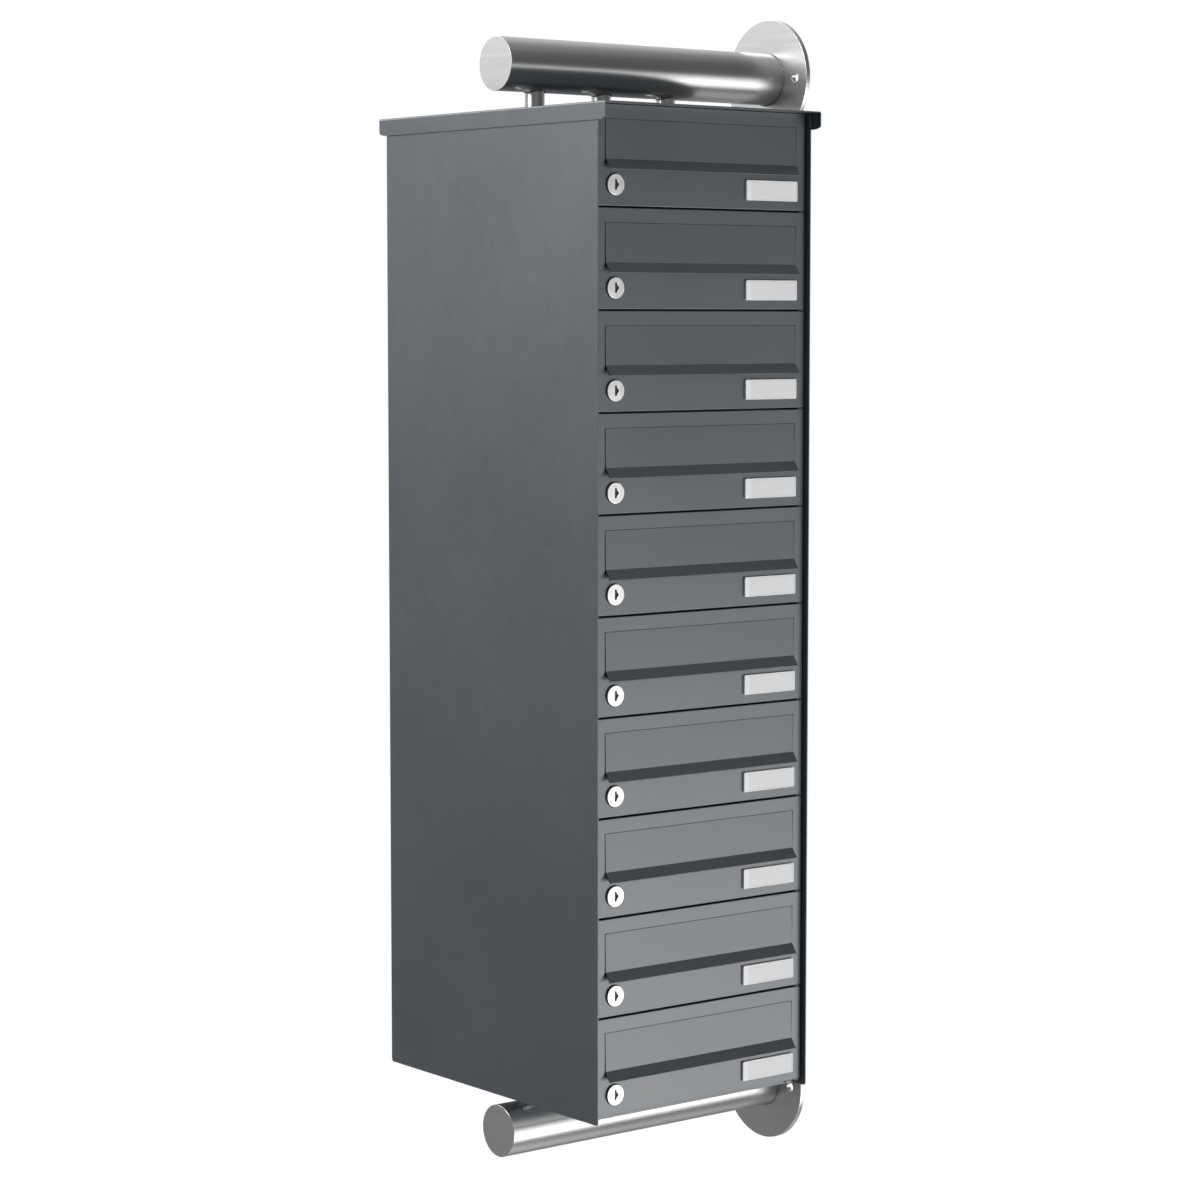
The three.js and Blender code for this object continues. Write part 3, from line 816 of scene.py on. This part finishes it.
def lock_cylinder():
    """The round plug with its keyway, whose walls and floor take the second material: near black,
    as painted shade in a recess only 1.6 mm deep.
    """
    x, z = LOCK
    shoulder = PLUG_R - PLUG_EASING
    profile = [(0, PLUG_FRONT), *eased_corner(PLUG_R, PLUG_FRONT, PLUG_EASING, 4)]
    profile += [(PLUG_R, PLUG_BACK - PLUG_EASING), (shoulder, PLUG_BACK), (0, PLUG_BACK)]
    plug = lathe(profile, "y", (x, 0, z), 72, closed=False)
    keyway = [
        (-1.7, -5.6), (0.9, -5.6), (1.2, -3.4), (3.7, -0.7),
        (3.7, 0.7), (1.2, 3.4), (0.9, 5.6), (-1.7, 5.6),
    ]
    outline = rounded([(x + u, z + v) for u, v in keyway], [0.4, 0.4, 0, 0.3, 0.3, 0, 0.4, 0.4], 3)
    keyway_floor = PLUG_FRONT + KEYWAY_DEPTH
    plug = carved(plug, prism(outline, "y", PLUG_FRONT - 1, keyway_floor))
    # the keyway's walls and floor take the near-black material: painted shade
    for face in plug.faces:
        middle = face.calc_center_median()
        inside = abs(middle.x - x) < 4.0 and abs(middle.z - z) < 5.9
        if inside and PLUG_FRONT + 0.05 < middle.y < keyway_floor + 0.1:
            face.material_index = 1
    return plug


def lock_plug():
    """The turning part of a lock: the plug, the cam on its tail and the cam's screw."""
    x, z = LOCK
    cam_outline = [
        (x - 5.6, z - 6.4), (x + 5.6, z - 6.4), (x + CAM_HALF, z + 6.0),
        *arc(x, z + CAM_REACH - CAM_HALF, CAM_HALF, 0, 180, 14), (x - CAM_HALF, z + 6.0),
    ]
    cam = prism(cam_outline, "y", CAM_FRONT, PLUG_BACK)
    soften(cam, 0.3, 2, 35, 0)
    screw = prism(circle(x, z, 4.6, 6), "y", PLUG_BACK, PLUG_BACK + 2.6)
    soften(screw, 0.3, 2, 35, 0)
    return together(lock_cylinder(), cam, screw)


FLAP_HALF = 135.8


def flap_leaf():
    """The posting flap: bent back at the top over its pins, flat, and folded out at the foot as
    a finger grip."""
    y, z = FLAP_AXIS
    fold, t = 50.5, SHEET
    top, back = 93.2, 2.8
    front_high, front_low = -0.1, -0.8  # the plate leans out a little towards its foot
    out, down = 7.9, 10.7
    lip = math.hypot(out, down)
    back_y, back_z = t * down / lip, -t * out / lip
    tip = (front_low - out, fold - down)
    inner_fold = fold + back_z + (t - back_y) * down / out
    outline = [
        (front_low, fold), tip, (tip[0] + back_y, tip[1] + back_z), (front_low + t, inner_fold),
        (front_high + t, top - t), (back, top - t), (back, top), (front_high, top),
    ]
    section = rounded(outline, [0.8, 0.35, 0.35, 1.6, 0.1, 0.3, 0.3, 0.5], 6)
    plate = prism(section, "x", -FLAP_HALF, FLAP_HALF)
    soften(plate, 0.2, 3, 50)
    shapes = [plate]
    root = front_high + t - 0.3  # a little inside the plate
    lug_outline = [
        (root, z - 6), (y + 2.4, z - 3), (y + 2.4, z + 1.0), (y + 1.0, z + 2.6), (root, z + 2.6),
    ]
    lug_section = rounded(lug_outline, [0, 1.0, 1.0, 0.6, 0], 4)
    for x0 in (-FLAP_HALF, FLAP_HALF - t):
        lug = prism(lug_section, "x", x0, x0 + t, [circle(y, z, 1.3, 20)])
        soften(lug, 0.12, 2)
        shapes.append(lug)
    return together(*shapes)


PLATE = (61.2, 136.2, 11.0, 33.0)
PLATE_GRIP = 7.0  # the frame is broader on the left, where a fingernail opens it


PLATE_RIM_X, PLATE_RIM_Z = 1.3, 1.1
CARD_GAP = 0.12


def plate_frame():
    x0, x1, z0, z1 = PLATE
    left, right = x0 + PLATE_GRIP, x1 - PLATE_RIM_X
    window = rectangle(left, right, z0 + PLATE_RIM_Z, z1 - PLATE_RIM_Z, 0.7, 4)
    bm = prism(rectangle(x0, x1, z0, z1, 1.2, 6), "y", -2.7, -0.05, [window])
    soften(bm, 0.3, 3, 35, 0)
    return bm


def plate_card():
    x0, x1, z0, z1 = PLATE
    left, right = x0 + PLATE_GRIP + CARD_GAP, x1 - PLATE_RIM_X - CARD_GAP
    low, high = z0 + PLATE_RIM_Z + CARD_GAP, z1 - PLATE_RIM_Z - CARD_GAP
    bm = prism(rectangle(left, right, low, high, 0.6, 4), "y", -2.5, -0.4)
    soften(bm, 0.15, 2, 35, 0)
    return bm


def build_fronts():
    shapes = {
        "door_leaf": door_leaf(),
        "lock_housing": lock_housing(),
        "lock_plug": lock_plug(),
        "flap_leaf": flap_leaf(),
        "name_frame": plate_frame(),
        "name_card": plate_card(),
    }
    for number in range(1, BOXES + 1):
        n = two(number)
        door, flap, lock, name_plate = f"door_{n}", f"flap_{n}", f"lock_{n}", f"name_plate_{n}"
        rows = (
            ("door_leaf", door, "powder_coat", COATED, [door]),
            ("lock_housing", door, "lock_nickel", (NICKEL, LOCK_RIM_PAINTED_SHADE), ()),
            ("lock_plug", lock, "lock_nickel", (NICKEL, KEYWAY_PAINTED_SHADE), [lock]),
            ("flap_leaf", flap, "powder_coat", COATED, [flap]),
            ("name_frame", door, "name_plate_plastic", (PLATE_FRAME,), [name_plate]),
            ("name_card", door, "name_plate_plastic", (PLATE_CARD,), ()),
        )
        for name, body, slot, materials, replaces in rows:
            shape = shapes[name].copy()
            piece(f"{name}_{n}", shape, body, materials, replaces, floor_of(number))
    for shape in shapes.values():
        shape.free()


build_fronts()

# ---------- wall mounting ----------

TUBE_R = 30.0
TUBE_WALL = 2.0
TUBE_STEPS = 12
POST_R = 11.0
WASHER_R, WASHER_THICK = 15, 1.4
BOLT_HOLE_R, BOLT_HOLE_AWAY = 5.5, 50
BOTTOM_FOOT_Z = -2.6  # where the lower posts end, under the base panel


def tube_facts(name):
    """A tube's two ends along x and its axis' place along y."""
    low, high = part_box(name)
    return row_x(low.x), row_x(high.x), row_y((low.y + high.y) / 2)


def steel(name, bm, material, replaces=()):
    piece(name, bm, "housing", (material,), replaces)


def saddle_post(x, y, tube_z, foot_z):
    """A post whose end follows the tube's skin, with a chamfered foot."""
    bm = bmesh.new()
    way = 1 if foot_z < tube_z else -1
    sides = 48
    chamfer = 0.8
    buried = TUBE_R - 0.6  # the end reaches this far into the tube's wall
    rings = []
    rows = ((POST_R - chamfer, foot_z), (POST_R, foot_z + way * chamfer), (POST_R, None))
    for radius, height in rows:
        ring = []
        for u, v in circle(0, 0, radius, sides):
            top = tube_z - way * math.sqrt(buried ** 2 - v * v)
            ring.append(bm.verts.new((x + u, y + v, top if height is None else height)))
        rings.append(ring)
    for one, other in zip(rings, rings[1:]):
        for i in range(sides):
            j = (i + 1) % sides
            bm.faces.new((one[i], one[j], other[j], other[i]))
    bm.faces.new(rings[0])
    bm.faces.new(rings[-1])
    bmesh.ops.recalc_face_normals(bm, faces=bm.faces[:])
    return bm


def saddle_weld(x, y, tube_z, way):
    """The weld bead around a post, where it meets the tube's skin."""
    gap = 0.2
    path = []
    for u, v in circle(0, 0, POST_R + gap, 96):
        path.append((x + u, y + v, tube_z - way * (math.sqrt(TUBE_R ** 2 - v * v) + gap)))
    return rope(path, 0.8, 10, 40, 0.10)


def post_washer(x, y, foot, way):
    """The round plate at a post's foot, with both edges chamfered."""
    far = foot - way * WASHER_THICK
    profile = [
        (0, far), (WASHER_R - 0.4, far), (WASHER_R, far + way * 0.4),
        (WASHER_R, foot - way * 0.4), (WASHER_R - 0.4, foot), (0, foot),
    ]
    return lathe(profile, "z", (x, y, 0), 64, closed=False)


def tube_shell(x0, x1, y, z):
    """The tube's wall, whose outer edge is eased around the end disc."""
    bore = TUBE_R - TUBE_WALL
    eased = x0 + 0.4
    profile = [(bore, x0 + 3.2), (bore, x0 + 0.1), (TUBE_R - 0.3, x0 + 0.1), (TUBE_R - 0.1, x0 + 0.2)]
    profile += [(TUBE_R, eased + (x1 - eased) * i / TUBE_STEPS) for i in range(TUBE_STEPS + 1)]
    profile.append((bore, x1))
    return lathe(profile, "x", (0, y, z), 160)


def end_disc(x0, y, z):
    radius = TUBE_R - 0.35
    chamfer, thick = 0.12, 3
    profile = [
        (0, x0), (radius - chamfer, x0), (radius, x0 + chamfer), (radius, x0 + thick), (0, x0 + thick),
    ]
    return lathe(profile, "x", (0, y, z), 128, closed=False)


def wall_plate(where, y):
    """The round plate on the wall, with its two bolt holes, and the height of its middle."""
    low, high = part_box(f"{where}_wall_plate")
    z, radius = row_z((low.z + high.z) / 2), (high.z - low.z) / 2 / MM
    holes = [circle(y + away, z, BOLT_HOLE_R, 40) for away in (-BOLT_HOLE_AWAY, BOLT_HOLE_AWAY)]
    plate = prism(circle(y, z, radius, 160), "x", row_x(low.x), row_x(high.x), holes)
    soften(plate, 0.5, 3, 35, 0)
    return plate, z, row_x(low.x)


def build_mounting(where, foot, way):
    """One tube with its posts and wall plate. foot is the height of the posts' feet, and way is
    1 where the posts stand and -1 where they hang."""
    tube = f"{where}_tube"
    x0, x1, y = tube_facts(tube)
    plate, z, plate_x0 = wall_plate(where, y)
    steel(f"{tube}_shell", tube_shell(x0, x1, y, z), TUBE_STEEL, [tube])
    steel(f"{where}_end_disc", end_disc(x0, y, z), DISC_STEEL_PAINTED_LIGHT)
    for count, x in enumerate(POST_X, 1):
        steel(f"{where}_post_{count}", saddle_post(x, y, z, foot), POST_STEEL)
        steel(f"{where}_post_weld_{count}", saddle_weld(x, y, z, way), WELD)
        steel(f"{where}_post_washer_{count}", post_washer(x, y, foot, way), POST_STEEL)
    steel(f"{where}_wall_plate_disc", plate, DISC_STEEL_PAINTED_LIGHT, [f"{where}_wall_plate"])
    ring = [(plate_x0 - 0.3, u, v) for u, v in circle(y, z, TUBE_R + 0.3, 200)]
    steel(f"{where}_plate_weld", rope(ring, 0.9, 10, 90, 0.09), WELD)


ROOF_TOP_Z = row_z(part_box("roof_cap")[1].z)
build_mounting("top", ROOF_TOP_Z + 1.5, 1)
build_mounting("bottom", BOTTOM_FOOT_Z, -1)


BOLT_WASHER_R, BOLT_WASHER_THICK = 10, 1.6
BOLT_HEAD_R, BOLT_HEAD_END = 7.5, 6.9
BASE_INSIDE_Z = 0.3
BUFFER_X = -147.4
BUFFER_Z = (8.0, 100.0)


def hex_bolt(x, y, z0, way):
    """A washer on the sheet at z0 and a hexagon head on it, both towards way."""
    top, edge = z0 + way * BOLT_WASHER_THICK, way * 0.2
    profile = [
        (0, z0), (BOLT_WASHER_R - 0.2, z0), (BOLT_WASHER_R, z0 + edge),
        (BOLT_WASHER_R, top - edge), (BOLT_WASHER_R - 0.2, top), (0, top),
    ]
    washer = lathe(profile, "z", (x, y, 0), 40, closed=False)
    head = prism(circle(x, y, BOLT_HEAD_R, 6), "z", *sorted((top, z0 + way * BOLT_HEAD_END)))
    soften(head, 0.5, 2, 35, 0)
    return [washer, head]


def build_small_parts():
    y = tube_facts("top_tube")[2]
    bolts = []
    for x in POST_X:
        bolts += hex_bolt(x, y, ROOF_TOP_Z - SHEET, -1) + hex_bolt(x, y, BASE_INSIDE_Z, 1)
    steel("post_bolts", together(*bolts), SCREW_STEEL)
    buffers = []
    profile = [(0, 10.6), (1.2, 10.7), (2.0, 11.2), (2.4, 12.0), (2.5, 13.0), (0, 13.0)]
    for number in range(1, BOXES + 1):
        for height in BUFFER_Z:
            place = (BUFFER_X, 0, floor_of(number) + height)
            buffers.append(lathe(profile, "y", place, 20, closed=False))
    piece("door_buffers", together(*buffers), "housing", (RUBBER,))


build_small_parts()

# ---------- studio ----------


FLOOR_DROP = 1.10  # from the object's lowest point down to the floor, in metres
FLOOR_SIDES = 64


def build_floor():
    """A pale round floor that fades out far away. It glows a little and gives no reflections."""
    low = CAD_BOX[0][2] - FLOOR_DROP
    bm = bmesh.new()
    rings = [[bm.verts.new((0, 0, low))]]
    for radius in (1.0, 2.0, 4.0, 8.0, 16.0):
        rings.append([bm.verts.new((u, v, low)) for u, v in circle(0, 0, radius, FLOOR_SIDES)])
    for i in range(FLOOR_SIDES):
        j = (i + 1) % FLOOR_SIDES
        bm.faces.new((rings[0][0], rings[1][i], rings[1][j]))
        for one, other in zip(rings[1:], rings[2:]):
            bm.faces.new((one[i], other[i], other[j], one[j]))
    mesh = to_mesh(bm, "floor")
    floor = bpy.data.objects.new("floor", mesh)
    bpy.context.scene.collection.objects.link(floor)
    material, tree, shader, coords = new_material("floor")
    distance = add(tree, "VectorMath", {"operation": "LENGTH"}, in_0=coords).outputs["Value"]
    tone = noise(tree, coords, 3.0, 3.0)
    feed(shader.inputs["Base Color"], mixed(tree, tone, (0.24, 0.24, 0.24), (0.27, 0.27, 0.27)))
    shader.inputs["Roughness"].default_value = 0.8
    shader.inputs["Emission Color"].default_value = (1, 1, 1, 1)
    shader.inputs["Emission Strength"].default_value = 0.80
    feed(shader.inputs["Alpha"], ranged(tree, distance, 3.0, 8.0, 1.0, 0.0, smooth=True))
    mesh.materials.append(material)
    floor.visible_diffuse = False
    floor.visible_glossy = False
    floor.visible_shadow = False


# The studio's surroundings: one row for each glowing area, with the azimuth and
# elevation of its middle, the angles from there where it starts to fade and where it has faded
# out, and its strength. Angles are in degrees.
GLOWS = (
    (0, -90, 10, 50, 1.2),  # floor
    (0, 90, 10, 55, 0.5),  # ceiling
    (180, 40, 10, 60, 0.7),  # back, high
    (110, 0, 10, 60, 0.4),  # right
    (-45, 0, 10, 55, 0.15),  # front left
    (20, 15, 10, 60, 0.1),  # front
    (-10, 50, 10, 50, 0.3),  # front, high
    (-140, 0, 10, 60, 0.22),  # back left
    (17, -29, 2, 23, 8.5),  # front, low
    (39, -18, 2, 20, 1.1),  # front right, low
    (-142, 28, 2, 22, 5.0),  # back left, high
)
BETWEEN_GLOWS = 0.01


def compass(azimuth, elevation):
    """Unit vector: azimuth 0 is the front (-y) and 90 the right (+x)."""
    turn, rise = math.radians(azimuth), math.radians(elevation)
    return (math.sin(turn) * math.cos(rise), -math.cos(turn) * math.cos(rise), math.sin(rise))


def build_world():
    """A soft studio: plain white to the camera, and the glows to everything else."""
    world = bpy.data.worlds.new("studio")
    bpy.context.scene.world = world
    world.use_nodes = True
    tree = world.node_tree
    tree.nodes.clear()
    direction = add(tree, "TexCoord").outputs["Generated"]
    total = BETWEEN_GLOWS
    for azimuth, elevation, core, end, strength in GLOWS:
        aim = compass(azimuth, elevation)
        nearness = add(tree, "VectorMath", {"operation": "DOT_PRODUCT"}, in_0=direction, in_1=aim)
        faint, full = math.cos(math.radians(end)), math.cos(math.radians(core))
        glow = ranged(tree, nearness.outputs["Value"], faint, full, 0.0, strength, smooth=True)
        total = math_node(tree, "ADD", glow, total)
    studio = add(tree, "Background", strength=total, color=(1.0, 1.0, 1.0))
    white = add(tree, "Background", strength=1.0, color=(1.0, 1.0, 1.0))
    to_camera = add(tree, "LightPath").outputs["Is Camera Ray"]
    mix = add(tree, "MixShader", in_0=to_camera, in_1=studio.outputs[0], in_2=white.outputs[0])
    output = add(tree, "OutputWorld")
    tree.links.new(mix.outputs[0], output.inputs[0])


def soft_box(name, position, target, size, power):
    """A rectangular light aimed at a target; places and sizes are in metres, power in watts."""
    data = bpy.data.lights.new(name, "AREA")
    data.shape = "RECTANGLE"
    data.size, data.size_y = size
    data.energy = power
    light = bpy.data.objects.new(name, data)
    light.location = position
    aim = Vector(target) - Vector(position)
    light.rotation_euler = aim.to_track_quat("-Z", "Y").to_euler()
    light.visible_camera = False
    bpy.context.scene.collection.objects.link(light)


build_floor()
build_world()
soft_box("right_low", (1.2, -1.7, -1.4), (0.0, 0.0, -1.1), (1.4, 1.0), 4.5)
soft_box("left_side", (-2.2, 0.3, 0.6), (-0.3, 0.1, -0.2), (1.2, 1.2), 38.0)

scene = bpy.context.scene
scene.view_settings.view_transform = "Standard"
scene.view_settings.look = "None"
